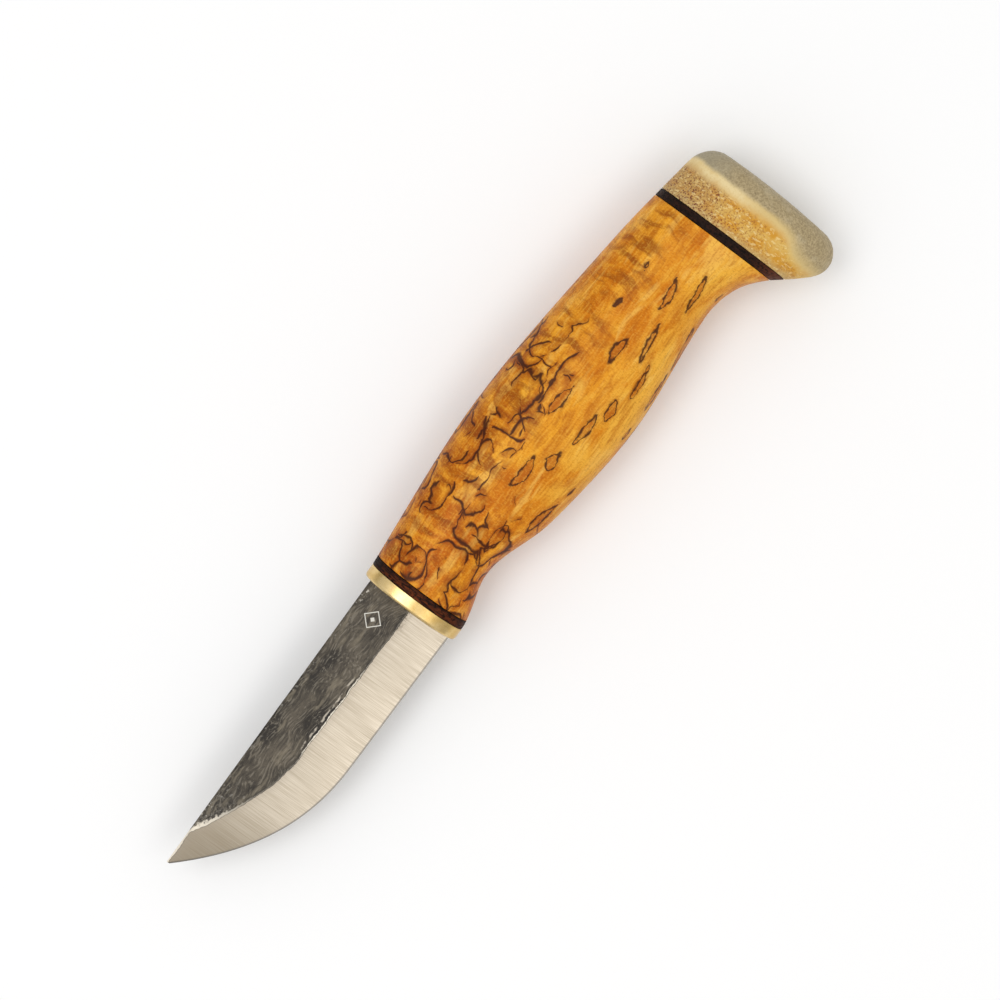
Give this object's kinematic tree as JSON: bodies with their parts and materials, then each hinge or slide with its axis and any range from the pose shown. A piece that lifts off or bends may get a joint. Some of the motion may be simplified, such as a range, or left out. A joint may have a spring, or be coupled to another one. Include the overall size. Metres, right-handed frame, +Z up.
{
  "type": "fixed-blade knife",
  "caption": "Belt knife with a short curved carving blade, brass bolster, curly-birch grip and a flared antler pommel, on a hidden tang.",
  "frame": {"origin": "under the middle of the knife's box, on the surface that it lies on", "axes": "the knife lies on its side: +X along the knife towards the pommel, +Y towards the back of the blade, +Z up through the thickness"},
  "size_m": [0.2008, 0.0446, 0.0248],
  "materials": {
    "blade_steel": "satin",
    "bolster_brass": "satin",
    "dark_wood": "satin",
    "curly_birch": "satin",
    "dark_leather": "matte",
    "antler": "satin",
    "epoxy": "gloss"
  },
  "bodies": {
    "root": {"blade": "blade_steel", "bolster": "bolster_brass", "front_spacer": "dark_wood", "grip": "curly_birch", "rear_spacer": "dark_leather", "pommel": "antler", "epoxy_bed": "epoxy"}
  },
  "joints": []
}
